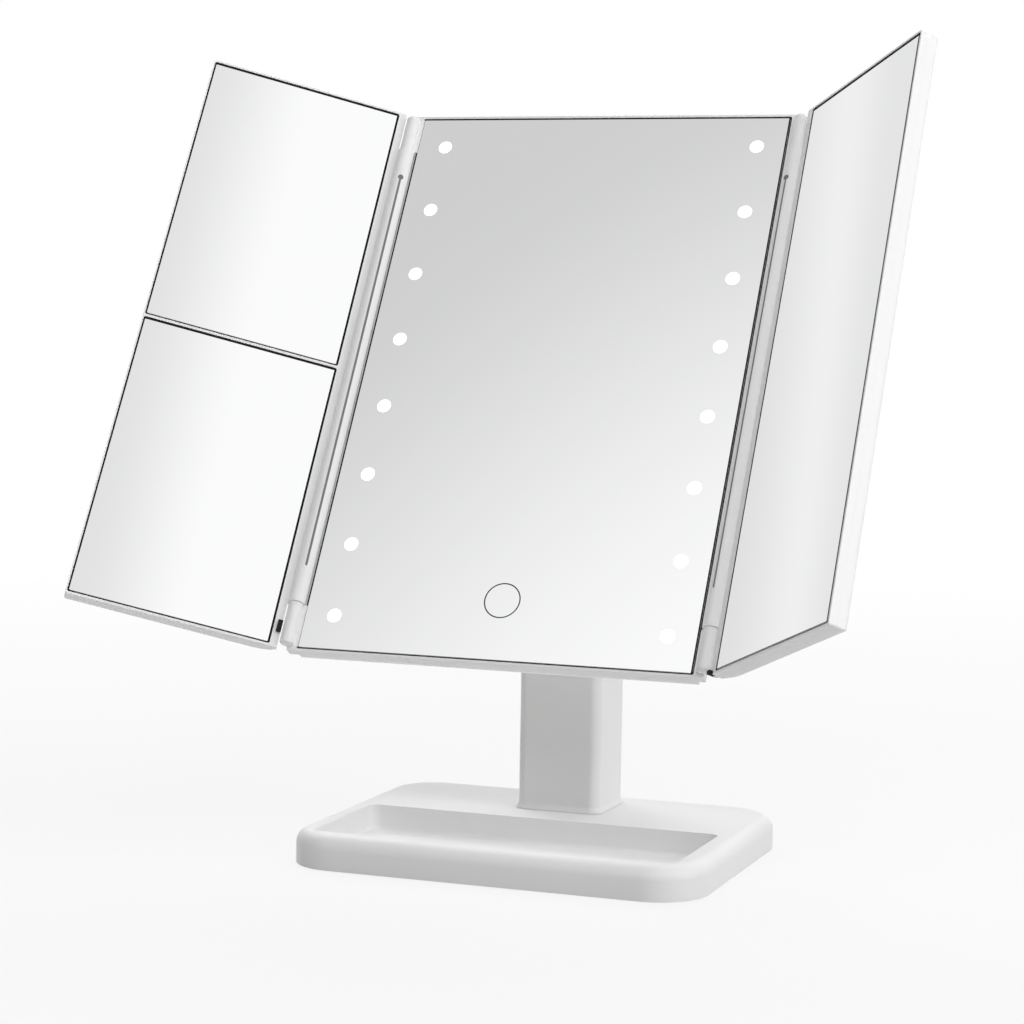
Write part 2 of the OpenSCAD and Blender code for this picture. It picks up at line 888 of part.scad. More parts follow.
module usb_socket() {
    color("silver")
        in_head()
            translate([usb_x, centre_depth - 0.3, board_z])
                rotate([90, 0, 0])
                    difference() {
                        linear_extrude(centre_depth - 0.3 - board_y - board_t)
                            inlet_outline(0);
                        translate([0, 0, -1])
                            linear_extrude(centre_depth - 1.5 - board_y - board_t)
                                inlet_outline(-0.3);
                    }
}

module switch_body() {
    color("dimgray")
        in_head()
            translate([switch_x - switch_w / 2, board_y + board_t, board_z - switch_h / 2])
                cube([switch_w, slider_y - 0.1 - board_y - board_t, switch_h]);
}

module battery_cell() {
    color("silver")
        in_head()
            translate([-board_x, seam_y + cell_t, board_z])
                rotate([90, 0, 0])
                    linear_extrude(cell_t)
                        rounded_rect(cell_w, cell_h, 3);
}

module touch_pad() {
    color("peru")
        in_head()
            rod_y(0, mirror_t, ring_z, ring_r + 1.5, 0.6);
}

// Insulated wire along a chain of points
module wire(points) {
    for (i = [0:len(points) - 2]) {
        run = points[i + 1] - points[i];
        flat = norm([run[0], run[1]]);
        translate(points[i])
            rotate([0, atan2(flat, run[2]), atan2(run[1], run[0])])
                cylinder(r = 0.6, h = norm(run));
    }
    for (i = [1:1:len(points) - 2])
        translate(points[i])
            sphere(0.6);
}

module wires() {
    y = board_y + board_t / 2;
    color("firebrick")
        in_head() {
            // Cell to board
            wire([[-board_x + cell_w / 2, y, board_z], [board_x - board_w / 2, y, board_z]]);
            // Board to the right lights
            wire([[board_x - 8, y, board_z + board_h / 2], [board_x - 8, y, board_z + board_h / 2 + 8],
                  [led_x, y, board_z + board_h / 2 + 8],
                  [led_x, seam_y + led_board_t, board_z + board_h / 2 + 8]]);
            // Board to the left lights
            wire([[board_x - 14, y, board_z + board_h / 2], [board_x - 14, y, board_z + board_h / 2 + 12],
                  [-led_x, y, board_z + board_h / 2 + 12],
                  [-led_x, seam_y + led_board_t, board_z + board_h / 2 + 12]]);
            // Board to the touch pad
            wire([[board_x - 14, y, board_z - board_h / 2], [board_x - 14, y, ring_z], [0, y, ring_z],
                  [0, mirror_t + 0.6, ring_z]]);
        }
}

module centre_back() {
    color("white")
        in_head()
            difference() {
                soft_back(centre_w, panel_h, panel_corner, seam_y, centre_depth - seam_y, centre_fillet);
                soft_back(centre_w - 2 * panel_wall, panel_h - 2 * panel_wall, 0.6, seam_y - 1,
                          back_in_y - seam_y + 1, centre_fillet - panel_wall);
                back_screw_places() {
                    rod_y(0, 0, 0, small_screw[0] + screw_clear, 2 * centre_depth);
                    rod_y(0, centre_depth - small_screw[2], 0, small_screw[1] + screw_clear, centre_depth);
                }
                // Slot for the bracket's tongue
                translate([-eye_w / 2 - 0.4, 0, pivot_up - tongue_h / 2 - 0.4])
                    cube([eye_w + 0.8, 2 * centre_depth, tongue_h + 0.8]);
                // Slot for the switch's tab
                translate([switch_x - tab_l / 2 - switch_travel / 2 - 0.4, back_in_y - 1,
                           board_z - tab_d / 2 - 0.3])
                    cube([tab_l + switch_travel + 0.8, centre_depth, tab_d + 0.6]);
                // Power inlet
                translate([usb_x, 2 * centre_depth, board_z])
                    rotate([90, 0, 0])
                        linear_extrude(centre_depth + panel_wall + 1)
                            inlet_outline(0.2);
            }
}

module centre_back_screws() {
    color("silver")
        in_head()
            back_screw_places()
                back_screw(0, centre_depth - small_screw[2], 0, small_screw, 6);
}

module tilt_bracket() {
    color("whitesmoke")
        in_head()
            difference() {
                union() {
                    panel_plate_at(bracket_w, bracket_h, 4, bracket_y, bracket_t, pivot_up);
                    translate([-eye_w / 2, bracket_y, pivot_up - tongue_h / 2])
                        cube([eye_w, pivot_back - bracket_y, tongue_h]);
                    translate([-eye_w / 2, pivot_back, pivot_up])
                        rotate([0, 90, 0])
                            cylinder(r = eye_r, h = eye_w);
                }
                translate([-eye_w, pivot_back, pivot_up])
                    rotate([0, 90, 0])
                        cylinder(r = axle_r + running, h = 2 * eye_w);
                bracket_screw_places()
                    rod_y(0, 0, 0, large_screw[0] + screw_clear, bracket_y + 2 * bracket_t);
            }
}

module panel_plate_at(w, h, r, y, t, z) {
    translate([0, 0, z])
        panel_plate(w, h, r, y, t);
}

module bracket_screws() {
    color("silver")
        in_head()
            bracket_screw_places()
                back_screw(0, bracket_y + bracket_t, 0, large_screw,
                           bracket_y + bracket_t - floor_y - bore_skin - 0.3);
}

module hinge_pins() {
    color("silver")
        in_head()
            for (side = [-1, 1]) {
                translate([side * hinge_x, -hinge_front, barrel_top - pin_reach])
                    cylinder(r = pin_r, h = knuckle_end - 1 - barrel_top + pin_reach);
                translate([side * hinge_x, -hinge_front, -knuckle_end + 1])
                    cylinder(r = pin_r, h = barrel_bottom + pin_reach + knuckle_end - 1);
            }
}

// Sliding tab of the power switch, shown at the end of its travel towards the middle
module power_switch() {
    x = switch_x - switch_travel / 2;
    color("gray")
        in_head() {
            translate([x - slider_l / 2 + switch_travel / 2, slider_y, board_z - slider_d / 2])
                cube([slider_l - switch_travel, 1.1, slider_d]);
            translate([x - tab_l / 2, slider_y, board_z - tab_d / 2])
                cube([tab_l, centre_depth + tab_proud - slider_y, tab_d]);
        }
}

// Wings

module wing_screw_places(out) {
    for (x = [wing_in + wing_screw_in, out - wing_screw_out], z = wing_screw_z)
        translate([x, 0, z])
            children();
}

// Rounded plate across a wing, between two distances from the hinge axis and two heights
module wing_plate(x0, x1, z0, z1, r, y, t) {
    translate([(x0 + x1) / 2, 0, (z0 + z1) / 2])
        panel_plate(x1 - x0, z1 - z0, r, y, t);
}

// Wing mirror between heights z0 and z1, inset on all sides
module wing_glass(out, z0, z1, inset, y, t) {
    wing_plate(wing_glass_in + inset, out - wing_glass_rim - inset, z0 + inset, z1 - inset,
               mirror_corner, y, t);
}

// Its bed, wider at the top
module wing_bed(out, z0, z1, y, t) {
    wing_plate(wing_glass_in - mirror_gap, out - outer_rim, z0 - mirror_gap, z1 + top_gap,
               mirror_corner, y, t);
}

module wing_bumper_shape(up, h) {
    translate([strip_in, wing_front - bumper_proud, -panel_h / 2 + up])
        cube([bumper_w, bumper_proud + bumper_t, h]);
}

module wing_frame(out, beds, bumper_up, bumper_h, groove_turn) {
    difference() {
        union() {
            wing_plate(wing_in, out, -panel_h / 2, panel_h / 2, panel_corner, wing_front,
                       wing_seam_y - wing_front);
            translate([0, 0, barrel_bottom])
                cylinder(r = barrel_r, h = barrel_top - barrel_bottom);
            // Web between barrel and plate
            translate([0, wing_front, barrel_bottom])
                cube([wing_in + panel_corner, barrel_r - wing_front, barrel_top - barrel_bottom]);
            // Wider strips beside the slimmer fixed knuckles
            for (part = [[barrel_top, panel_h / 2], [-panel_h / 2, barrel_bottom]])
                translate([strip_in, wing_front, part[0]])
                    cube([wing_in - strip_in + panel_corner, wing_seam_y - wing_front,
                          part[1] - part[0]]);
            wing_screw_places(out)
                rod_y(0, wing_seam_y - eps, 0, small_screw[0] + boss_wall,
                      wing_back_y - panel_wall - wing_seam_y + eps);
        }
        for (bed = beds)
            wing_bed(out, bed[0], bed[1], wing_front - 5, wing_floor_y - wing_front + 5);
        // Bores for the sleeves
        for (z = [barrel_top - sleeve_l, barrel_bottom - 1])
            translate([0, 0, z])
                cylinder(r = sleeve_r, h = sleeve_l + 1);
        // Moulded groove with a round upper end
        rotate(groove_turn) {
            translate([-groove_w / 2, -barrel_r - 1, -panel_h / 2 + groove_bottom])
                cube([groove_w, groove_depth + 1, panel_h - groove_top - groove_bottom]);
            rod_y(0, -barrel_r - 1, panel_h / 2 - groove_top, groove_end_r, groove_depth + 1);
        }
        wing_bumper_shape(bumper_up, bumper_h);
        wing_screw_places(out)
            rod_y(0, wing_floor_y + bore_skin, 0, small_screw[0], wing_depth);
    }
}

module wing_gasket(out, z0, z1) {
    y = hinge_front + gasket_low;
    difference() {
        wing_bed(out, z0, z1, y, wing_floor_y - y);
        wing_glass(out, z0, z1, 0, hinge_front - 1, wing_mirror_t + 1);
        wing_glass(out, z0, z1, gasket_w, y, wing_floor_y);
    }
}

// Outline of a wing's back seen from its end, thinner towards the hinge, inset from the outside
module wing_back_outline(out, inset) {
    bend_x = wing_in + wing_taper;
    intersection() {
        translate([wing_in + inset, 0])
            square([out - wing_in - 2 * inset, wing_back_y - inset]);
        union() {
            translate([bend_x, 0])
                square([out, wing_back_y]);
            // The curve stands a little high, so that it crosses the flat back at an angle
            translate([bend_x, wing_back_y + 0.1 - wing_curve])
                circle(wing_curve - inset);
        }
    }
}

module wing_back(out) {
    difference() {
        intersection() {
            translate([(wing_in + out) / 2, 0, 0])
                soft_back(out - wing_in, panel_h, panel_corner, wing_seam_y,
                          wing_back_y - wing_seam_y, wing_fillet);
            translate([0, 0, -panel_h])
                linear_extrude(2 * panel_h)
                    wing_back_outline(out, 0);
        }
        translate([0, 0, -panel_h / 2 + panel_wall])
            linear_extrude(panel_h - 2 * panel_wall)
                wing_back_outline(out, panel_wall);
        wing_screw_places(out) {
            rod_y(0, 0, 0, small_screw[0] + screw_clear, 2 * wing_back_y);
            rod_y(0, wing_back_y - small_screw[2], 0, small_screw[1] + screw_clear, wing_back_y);
        }
    }
}

module wing_screws(out) {
    wing_screw_places(out)
        back_screw(0, wing_back_y - small_screw[2], 0, small_screw,
                   wing_back_y - small_screw[2] - wing_floor_y - bore_skin - 0.3);
}

module hinge_sleeves() {
    for (z = [barrel_top - sleeve_l, barrel_bottom])
        translate([0, 0, z])
            difference() {
                cylinder(r = sleeve_r, h = sleeve_l);
                translate([0, 0, -1])
                    cylinder(r = pin_r + running, h = sleeve_l + 2);
            }
}

full = [-mirror_h / 2, mirror_h / 2];
upper = [split_bar / 2 + mirror_gap, mirror_h / 2];
lower = [-mirror_h / 2, -split_bar / 2 - top_gap];

module left_wing_frame() {
    color("white")
        in_left_wing()
            wing_frame(left_out, [upper, lower], left_bumper_up, left_bumper_h, 0);
}

module left_upper_mirror() {
    color("lightsteelblue")
        in_left_wing()
            wing_glass(left_out, upper[0], upper[1], 0, hinge_front, wing_mirror_t);
}

module left_lower_mirror() {
    color("lightsteelblue")
        in_left_wing()
            wing_glass(left_out, lower[0], lower[1], 0, hinge_front, wing_mirror_t);
}

module left_mirror_gaskets() {
    color("black")
        in_left_wing() {
            wing_gasket(left_out, upper[0], upper[1]);
            wing_gasket(left_out, lower[0], lower[1]);
        }
}

module left_wing_back() {
    color("white")
        in_left_wing()
            wing_back(left_out);
}

module left_wing_screws() {
    color("silver")
        in_left_wing()
            wing_screws(left_out);
}

module left_wing_bumper() {
    color("black")
        in_left_wing()
            wing_bumper_shape(left_bumper_up, left_bumper_h);
}

module left_hinge_sleeves() {
    color("ivory")
        in_left_wing()
            hinge_sleeves();
}

module right_wing_frame() {
    color("white")
        in_right_wing()
            wing_frame(right_out, [full], right_bumper_up, right_bumper_h, right_groove_turn);
}

module right_mirror() {
    color("lightsteelblue")
        in_right_wing()
            wing_glass(right_out, full[0], full[1], 0, hinge_front, wing_mirror_t);
}

module right_mirror_gasket() {
    color("black")
        in_right_wing()
            wing_gasket(right_out, full[0], full[1]);
}

module right_wing_back() {
    color("white")
        in_right_wing()
            wing_back(right_out);
}

module right_wing_screws() {
    color("silver")
        in_right_wing()
            wing_screws(right_out);
}

module right_wing_bumper() {
    color("black")
        in_right_wing()
            wing_bumper_shape(right_bumper_up, right_bumper_h);
}

module right_hinge_sleeves() {
    color("ivory")
        in_right_wing()
            hinge_sleeves();
}

base_shell();
base_bottom_plate();
base_weight();
base_foot_ring();
base_screws();
post();
post_screws();
tilt_axle();
tilt_nut();
tilt_washers();
axle_caps();
centre_frame();
centre_mirror();
led_windows();
touch_ring();
centre_mirror_gasket();
led_boards();
leds();
main_board();
board_screws();
usb_socket();
switch_body();
battery_cell();
touch_pad();
wires();
centre_back();
centre_back_screws();
tilt_bracket();
bracket_screws();
hinge_pins();
power_switch();
left_wing_frame();
left_upper_mirror();
left_lower_mirror();
left_mirror_gaskets();
left_wing_back();
left_wing_screws();
left_wing_bumper();
left_hinge_sleeves();
right_wing_frame();
right_mirror();
right_mirror_gasket();
right_wing_back();
right_wing_screws();
right_wing_bumper();
right_hinge_sleeves();
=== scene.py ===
"""Looks of the folding makeup mirror: finishes, softened mouldings, lit windows, studio and camera."""
import math

import bmesh
import bpy
from mathutils import Matrix, Vector
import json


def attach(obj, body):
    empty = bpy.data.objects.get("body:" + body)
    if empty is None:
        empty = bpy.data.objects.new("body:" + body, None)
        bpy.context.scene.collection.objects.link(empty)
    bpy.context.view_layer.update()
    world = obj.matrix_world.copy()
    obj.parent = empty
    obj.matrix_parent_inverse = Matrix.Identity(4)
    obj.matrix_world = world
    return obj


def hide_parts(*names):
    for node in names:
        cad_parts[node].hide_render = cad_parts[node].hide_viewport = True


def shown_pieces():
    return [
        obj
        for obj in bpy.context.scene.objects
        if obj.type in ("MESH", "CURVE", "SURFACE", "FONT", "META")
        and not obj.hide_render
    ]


MM = 0.001

# Tilt axis in the post, and its place behind and above the middle of the glass
TILT = math.radians(30.28)
POST_Y = 36.8
PIVOT_H = 183.5
PIVOT_BACK = 32.0
PIVOT_UP = 13.2

# The head's own frame: x to the right, y back from the glass, z up
GLASS_Y = POST_Y - PIVOT_BACK * math.cos(TILT) - PIVOT_UP * math.sin(TILT)
GLASS_Z = PIVOT_H + PIVOT_BACK * math.sin(TILT) - PIVOT_UP * math.cos(TILT)
HEAD = Matrix.Translation((0, GLASS_Y * MM, GLASS_Z * MM)) @ Matrix.Rotation(-TILT, 4, "X")
BACK_Y = 14.0
MIRROR_W = 157.0
MIRROR_H = 240.0
PANEL_H = 243.0

# Wings, in their own frames: x outward from the hinge axis, y back, z up
HINGE_X = 83.0
HINGE_FRONT = 1.2
FOLD = {"left": math.radians(29.9), "right": math.radians(44.4)}
GLASS_IN = 6.9
GLASS_OUT = {"left": 84.9, "right": 78.1}
SPLIT_LOW = -1.3
SPLIT_HIGH = 1.1

# Groove along the front of each hinge barrel, and its turn about the hinge axis
BARREL_R = 3.4
GROOVE_W = 0.9
GROOVE_DEPTH = 0.6
GROOVE_END_R = 1.2
GROOVE_TOP = PANEL_H / 2 - 32
GROOVE_BOTTOM = -PANEL_H / 2 + 34
GROOVE_TURN = {"left": 0.0, "right": math.radians(27)}

# Lit windows in the centre mirror, and the part of their thickness that their rim takes
LIGHT_X = 66.6
LIGHT_TOP = 106.6
LIGHT_PITCH = 30.37
LIGHT_COUNT = 8
WINDOW_R = 2.9
WINDOW_T = 2.0
WINDOW_RIM = 0.12
WINDOW_SIDES = 48

# Power inlet and switch in the head's back, each on its side of the board's middle
BOARD_X = 34.6
BOARD_Z = -60.0
PORT_OFFSET = 11
SWITCH_TRAVEL = 3.0
INLET_X = BOARD_X + PORT_OFFSET
SWITCH_X = BOARD_X - PORT_OFFSET - SWITCH_TRAVEL / 2

# Black bands on the mirrors' edges, gasket black widened with painted shade of the gaps: widths at
# their left, right, bottom and top, and how far their front and back lie in front of the glass
BAND_WIDTHS = {"centre": (0.1, 0.6, 0.15, 0.15), "left": (0.3, 0.1, 0.1, 0.3),
               "right": (0.45, 0.7, 0.35, 0.5)}
BAND_FRONT = 0.05
BAND_BACK = 0.01

# Painted shade in the grooves: dark strips on the groove floors, standing in for the grooves' shade; gap
# to the groove's sides, thickness, and steps round the upper end
STRIP_GAP = 0.02
STRIP_T = 0.2
STRIP_STEPS = 24

# Mouldings and glasses whose edges are rounded: new name, body and width of the rounding; then
# the distance within which corners merge, in metres, and the angles taken as flat and as sharp
SOFT_EDGES = {
    "base_shell": ("base_moulding", "stand", 0.25),
    "post": ("post_moulding", "stand", 0.3),
    "centre_frame": ("centre_frame_moulding", "head", 0.2),
    "centre_back": ("centre_back_moulding", "head", 0.2),
    "left_wing_frame": ("left_wing_moulding", "left_wing", 0.2),
    "left_wing_back": ("left_wing_back_moulding", "left_wing", 0.2),
    "right_wing_frame": ("right_wing_moulding", "right_wing", 0.2),
    "right_wing_back": ("right_wing_back_moulding", "right_wing", 0.2),
    "centre_mirror": ("centre_glass", "head", 0.15),
    "left_upper_mirror": ("left_upper_glass", "left_wing", 0.15),
    "left_lower_mirror": ("left_lower_glass", "left_wing", 0.15),
    "right_mirror": ("right_glass", "right_wing", 0.15),
}
WELD = 2e-6
FLAT_ANGLE = math.radians(0.4)
SHARP_ANGLE = math.radians(35)

# Camera fitted to the photograph, in metres and millimetres of sensor
SENSOR = 36.0
LENS = 95.52
CAMERA_PLACE = (0.3557, -0.9963, 0.2227)
CAMERA_RIGHT = (0.937, 0.3488, 0.0165)
CAMERA_UP = (-0.044, 0.0713, 0.9965)

# Lamps: place, height aimed at, width, power
LAMPS = {
    "low_right_light": ((1.5, -0.15, 0.62), 0.1, 0.8, 6.8),
    "high_right_light": ((1.3, -0.35, 1.1), 0.15, 1.0, 4.4),
    "top_light": ((0.5, -0.3, 1.65), 0.15, 1.2, 7.0),
    "back_light": ((0.1, 1.2, 1.1), 0.05, 1.2, 7.4),
    "back_left_light": ((-0.9, 0.9, 1.2), 0.05, 1.0, 11.4),
    "front_light": ((0.3, -1.2, 1.1), 0.12, 0.8, 7.0),
}
AMBIENT = 0.06

# Grey screens that the mirrors show, one where the camera sees each mirror point at rest: the
# directions that place it, the leans between which it fades, and how dark it is
CENTRE_SCREEN = {"axis": (0.012, 0.809, -0.588), "fade": (-0.934, -0.834, 0.0, 0.36),
                 "side_axis": (-0.492, -0.087, 0.866), "side_fade": (0.70, 0.82)}
LEFT_SCREEN = {"axis": (-0.933, -0.348, 0.094), "rise": (-0.206, -0.16), "fall": (0.0, 0.2),
               "dark": 0.214}
RIGHT_SCREEN = {"axis": (0.0437, 0.8901, -0.4537), "dark": 0.195,
                "dip": (0.1935, 0.2131), "dip_by": 0.106, "rise": (0.2055, 0.2357), "rise_by": 0.143,
                "side_axis": (-0.83, 0.49, 0.26), "side_fade": (0.86, 0.96)}

# Floor: half its width, and the plain white mixed into what is seen of it. The share goes from
# 0.86 within 0.25 m of the middle, where 0.14 of the shadow is left, to all at 1.2 m
FLOOR_HALF = 3.0
FLOOR_GLOW = (0.25, 1.2, 0.86, 1.0)


# Node trees

class Value:
    """An output of a node that can be used in sums, products and comparisons."""

    def __init__(self, tree, socket):
        self.tree = tree
        self.socket = socket

    def math(self, operation, *values):
        inputs = dict(enumerate(values))
        return self.tree.node("ShaderNodeMath", {"operation": operation}, inputs)["Value"]

    def __add__(self, other):
        return self.math("ADD", self, other)

    def __sub__(self, other):
        return self.math("SUBTRACT", self, other)

    def __rsub__(self, other):
        return self.math("SUBTRACT", other, self)

    def __mul__(self, other):
        return self.math("MULTIPLY", self, other)

    __radd__ = __add__

    def most(self, other):
        return self.math("MAXIMUM", self, other)

    def step(self, low, high, out_low=0.0, out_high=1.0):
        """Smooth change from out_low, at low, to out_high, at high."""
        settings = {"interpolation_type": "SMOOTHSTEP"}
        inputs = {"Value": self, "From Min": low, "From Max": high,
                  "To Min": out_low, "To Max": out_high}
        return self.tree.node("ShaderNodeMapRange", settings, inputs)["Result"]


class Outputs:
    """A node's outputs by name or number."""

    def __init__(self, tree, made):
        self.tree = tree
        self.made = made

    def __getitem__(self, key):
        return Value(self.tree, self.made.outputs[key])


class Tree:
    """A shader or geometry node tree, and the one way in which nodes are added to it."""

    def __init__(self, tree):
        self.tree = tree

    def node(self, kind, settings=None, inputs=None):
        made = self.tree.nodes.new(kind)
        for name, value in (settings or {}).items():
            setattr(made, name, value)
        for name, value in (inputs or {}).items():
            if isinstance(value, Value):
                self.tree.links.new(value.socket, made.inputs[name])
            else:
                made.inputs[name].default_value = value
        return Outputs(self, made)


class Finish(Tree):
    """A material whose patterns follow the piece's own coordinates, in metres."""

    def __init__(self, name, **constants):
        """Constants are named by the surface's sockets, with _ for a space."""
        constants = {socket.replace("_", " "): value for socket, value in constants.items()}
        self.material = bpy.data.materials.new(name)
        self.material.use_nodes = True
        super().__init__(self.material.node_tree)
        self.tree.nodes.clear()
        self.place = self.node("ShaderNodeTexCoord")["Object"]
        self.surface = self.node("ShaderNodeBsdfPrincipled", None, constants)
        self.output = self.node("ShaderNodeOutputMaterial", None, {"Surface": self.surface["BSDF"]})

    def noise(self, size_mm, detail=2.0, roughness=0.5, stretch=None):
        """Cloudy pattern from 0 to 1 whose features are about size_mm wide."""
        place = self.place
        if stretch:
            place = self.node("ShaderNodeMapping", None, {"Vector": place, "Scale": stretch})["Vector"]
        inputs = {"Vector": place, "Scale": 1 / (size_mm * MM), "Detail": detail, "Roughness": roughness}
        return self.node("ShaderNodeTexNoise", None, inputs)["Fac"]

    def blend(self, factor, first, second):
        """Colour between first and second."""
        inputs = {0: factor, 6: first, 7: second}
        return self.node("ShaderNodeMix", {"data_type": "RGBA"}, inputs)[2]

    def feed(self, **links):
        """Joins patterns to the surface's sockets, whose names are written with _ for a space."""
        for name, value in links.items():
            self.tree.links.new(value.socket, self.surface.made.inputs[name.replace("_", " ")])
        return self.material

    def bump(self, height, depth_mm, strength=1.0):
        inputs = {"Height": height, "Distance": depth_mm * MM, "Strength": strength}
        return self.node("ShaderNodeBump", None, inputs)["Normal"]


def colour(red, green, blue):
    return (red, green, blue, 1.0)


def grey(level):
    return colour(level, level, level)


# Finishes

def moulded_plastic(name, base, darker, roughness, grain_mm=0.25, grain_depth=0.006):
    """Injection moulding: fine spark-eroded grain, faint flow clouds and uneven gloss."""
    finish = Finish(name, IOR=1.49)
    clouds = finish.noise(70, 2.0)
    grain = finish.noise(grain_mm, 2.0, 0.6)
    tone = finish.blend(clouds * 0.4, base, darker)
    gloss = roughness - 0.02 + clouds * 0.03 + grain * 0.03
    return finish.feed(Base_Color=tone, Roughness=gloss, Normal=finish.bump(grain, grain_depth, 0.5))


def silvered_glass(name):
    """Silvered float glass: a bright mirror with a trace of haze and a faintly green ground edge."""
    finish = Finish(name, Metallic=1.0, IOR=1.52, Coat_Weight=0.0)
    haze = finish.noise(60, 4.0, 0.6)
    ripple = finish.noise(180, 1.0)
    tone = finish.blend(haze, colour(0.965, 0.97, 0.968), colour(0.955, 0.962, 0.958))
    return finish.feed(Base_Color=tone, Roughness=0.01 + haze * 0.012,
                       Normal=finish.bump(ripple, 0.002, 0.15))


def lit_window(name):
    """Frosted spot in the silvering with a light behind it."""
    finish = Finish(name, IOR=1.5, Emission_Strength=1.0)
    frost = finish.noise(0.35, 3.0, 0.7)
    glow = finish.blend(frost, colour(0.72, 0.72, 0.715), colour(0.62, 0.62, 0.61))
    tone = finish.blend(frost, grey(0.95), grey(0.9))
    return finish.feed(Base_Color=tone, Emission_Color=glow, Roughness=0.45 + frost * 0.15,
                       Normal=finish.bump(frost, 0.02, 0.4))


def rubber(name, base, worn, roughness):
    """Matt rubber with a pebbled skin."""
    finish = Finish(name, IOR=1.5, Specular_IOR_Level=0.15)
    pebble = finish.noise(0.5, 3.0, 0.6)
    dust = finish.noise(7, 3.0)
    return finish.feed(Base_Color=finish.blend(dust * 0.6, base, worn), Roughness=roughness + dust * 0.1,
                       Normal=finish.bump(pebble, 0.03, 0.6))


def metal(name, base, tarnish, roughness, brushed=None):
    """Plated or plain metal with drawn or cloudy marks."""
    finish = Finish(name, Metallic=1.0)
    marks = finish.noise(1.2, 4.0, 0.6, brushed)
    clouds = finish.noise(6, 3.0)
    return finish.feed(Base_Color=finish.blend(clouds * 0.5, base, tarnish),
                       Roughness=roughness + marks * 0.12, Normal=finish.bump(marks, 0.01, 0.4))


def circuit_mask(name):
    """Green solder mask over copper traces."""
    finish = Finish(name, IOR=1.55, Coat_Weight=0.3)
    traces_per_metre = 260.0
    inputs = {"Vector": finish.place, "Scale": traces_per_metre}
    brick = finish.node("ShaderNodeTexBrick", None, inputs)["Fac"]
    mottled = finish.noise(2.5, 3.0)
    tone = finish.blend(brick, colour(0.02, 0.12, 0.045), colour(0.05, 0.22, 0.08))
    return finish.feed(Base_Color=finish.blend(mottled * 0.3, tone, colour(0.01, 0.08, 0.03)),
                       Roughness=0.3 + mottled * 0.1, Normal=finish.bump(brick, 0.02, 0.5))


def printed_ink(name, base, thin):
    """Screen-printed ink with a slightly uneven film."""
    finish = Finish(name, IOR=1.5)
    film = finish.noise(0.4, 3.0, 0.6)
    return finish.feed(Base_Color=finish.blend(film, base, thin), Roughness=0.35 + film * 0.15,
                       Normal=finish.bump(film, 0.01, 0.4))


def make_finishes():
    """The finish of each material slot in the record."""
    return {
        "white_plastic": moulded_plastic("white_moulding", grey(0.875), colour(0.86, 0.86, 0.85), 0.28),
        "white_frame": moulded_plastic("white_frame_moulding", grey(0.885),
                                       colour(0.87, 0.87, 0.862), 0.24),
        "mirror_silver": silvered_glass("silvered_glass"),
        "frosted_window": lit_window("lit_window"),
        "black_print": printed_ink("black_print", grey(0.03), grey(0.05)),
        "black_gasket": rubber("black_gasket", grey(0.008), grey(0.014), 0.75),
        "black_rubber": rubber("black_rubber", grey(0.015), grey(0.025), 0.7),
        "grey_rubber": rubber("grey_rubber", grey(0.2), grey(0.26), 0.7),
        "grey_plastic": moulded_plastic("grey_moulding", grey(0.55), grey(0.5), 0.45, 0.4, 0.012),
        "dark_plastic": moulded_plastic("dark_moulding", grey(0.05), grey(0.035), 0.5, 0.4, 0.012),
        "steel_weight": metal("steel_plate", grey(0.42), colour(0.34, 0.33, 0.32), 0.3, (1, 1, 40)),
        "screw_steel": metal("zinc_plating", colour(0.7, 0.7, 0.71), colour(0.58, 0.57, 0.55), 0.25),
        "circuit_board": circuit_mask("circuit_mask"),
        "led_chip": moulded_plastic("light_chip", colour(0.9, 0.85, 0.5), colour(0.85, 0.78, 0.4), 0.35),
        "copper_pad": metal("copper_foil", colour(0.75, 0.42, 0.25), colour(0.55, 0.3, 0.2), 0.3),
        "cell_wrap": metal("cell_laminate", colour(0.72, 0.72, 0.74), colour(0.66, 0.66, 0.68), 0.32),
        "wire_cover": rubber("wire_cover", colour(0.42, 0.03, 0.02), colour(0.35, 0.03, 0.02), 0.4),
        "sleeve_plastic": moulded_plastic("acetal", colour(0.8, 0.78, 0.7),
                                          colour(0.75, 0.73, 0.64), 0.4),
    }


def dress(piece, finish):
    piece.data.materials.clear()
    piece.data.materials.append(finish)


# Meshes

def new_piece(name, mesh):
    piece = bpy.data.objects.new(name, mesh)
    bpy.context.scene.collection.objects.link(piece)
    return piece


def made_plain(piece, name):
    """Turns what a piece's modifiers make into its plain mesh."""
    evaluated = piece.evaluated_get(bpy.context.evaluated_depsgraph_get())
    mesh = bpy.data.meshes.new_from_object(evaluated)
    piece.modifiers.clear()
    piece.data = mesh
    mesh.name = name


def settled(piece, body, slot, replaced=None):
    """Gives a piece its finish and the body it rides on, and hides the node it stands for."""
    dress(piece, finishes[slot])
    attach(piece, body)
    if replaced:
        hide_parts(replaced)


def merged_copy(node, name):
    """A clean copy of a moulding's mesh: doubles merged and flat areas made whole."""
    shape = bmesh.new()
    shape.from_mesh(frame["nodes"][node].data)
    bmesh.ops.remove_doubles(shape, verts=shape.verts, dist=WELD)
    bmesh.ops.dissolve_degenerate(shape, edges=shape.edges, dist=WELD)
    bmesh.ops.dissolve_limit(shape, angle_limit=FLAT_ANGLE, verts=shape.verts, edges=shape.edges,
                             delimit={"NORMAL"})
    mesh = bpy.data.meshes.new(name)
    shape.to_mesh(mesh)
    shape.free()
    return new_piece(name, mesh)


